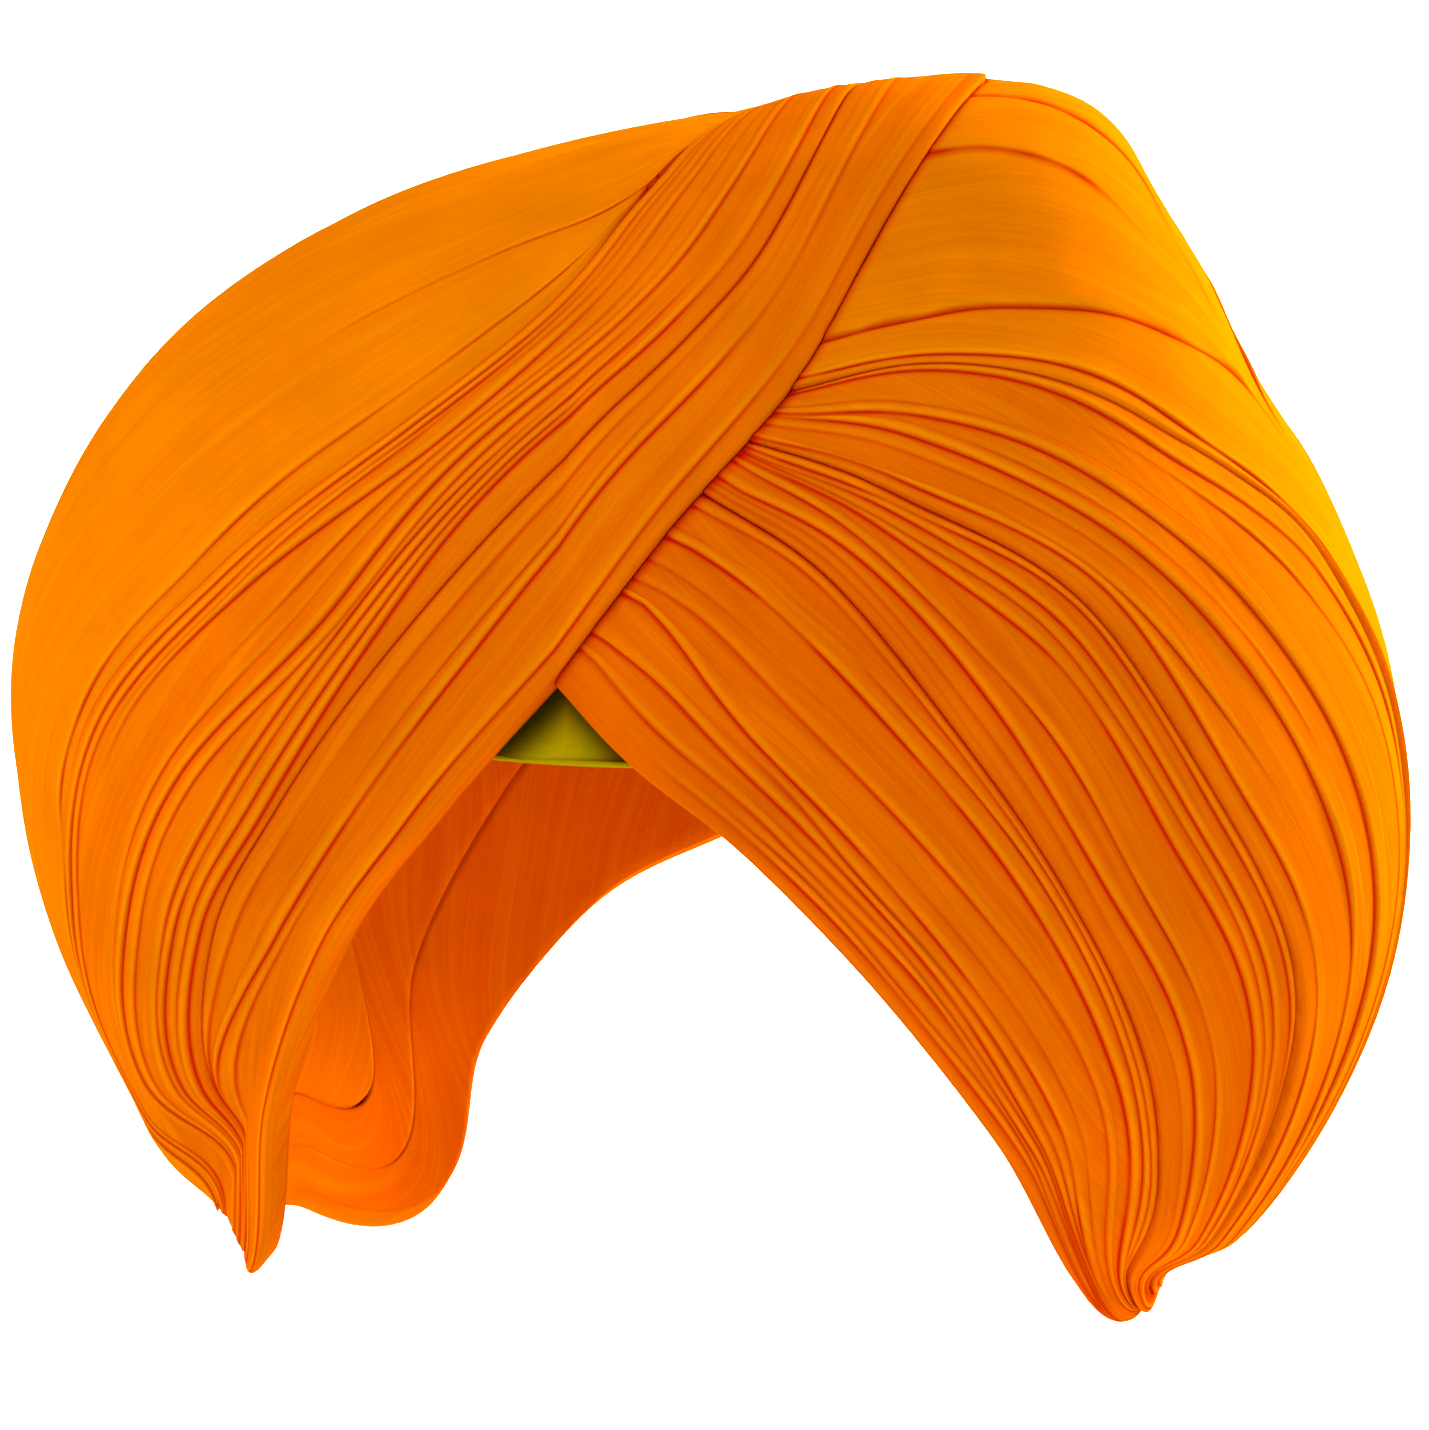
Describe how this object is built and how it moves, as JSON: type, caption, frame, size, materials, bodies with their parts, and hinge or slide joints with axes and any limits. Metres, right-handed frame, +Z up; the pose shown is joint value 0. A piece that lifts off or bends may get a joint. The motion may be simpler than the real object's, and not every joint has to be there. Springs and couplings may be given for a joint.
{
  "type": "tied turban",
  "caption": "Wound pleated cloth turban in its worn form: laps rise from each ear to a peaked crossing over the forehead, a slanting final lap runs over the crown, head hollow open below.",
  "frame": {"origin": "centre of the head that holds the wrap, level with the brow: the middle of the head hollow's ellipse", "axes": "+Z up, the front with the peaked crossing faces -Y, +X to the wearer's left"},
  "size_m": [0.2553, 0.2439, 0.2331],
  "materials": {
    "under_cloth": "plain woven olive cotton, matte",
    "left_lap_1": "fine woven orange cotton voile, matte, pleated",
    "left_lap_2": "fine woven orange cotton voile, matte, pleated",
    "left_lap_3": "fine woven orange cotton voile, matte, pleated",
    "left_spread": "fine woven orange cotton voile, matte, drawn smooth",
    "right_spread": "fine woven orange cotton voile, matte, drawn smooth",
    "right_lap": "fine woven orange cotton voile, matte, finely pleated",
    "final_lap": "fine woven orange cotton voile, matte, with a folded hem"
  },
  "bodies": {
    "root": {"under_cloth": "under_cloth", "left_lap_1": "left_lap_1", "left_lap_2": "left_lap_2", "left_lap_3": "left_lap_3", "left_spread": "left_spread", "right_spread": "right_spread", "right_lap": "right_lap", "final_lap": "final_lap"}
  },
  "joints": []
}
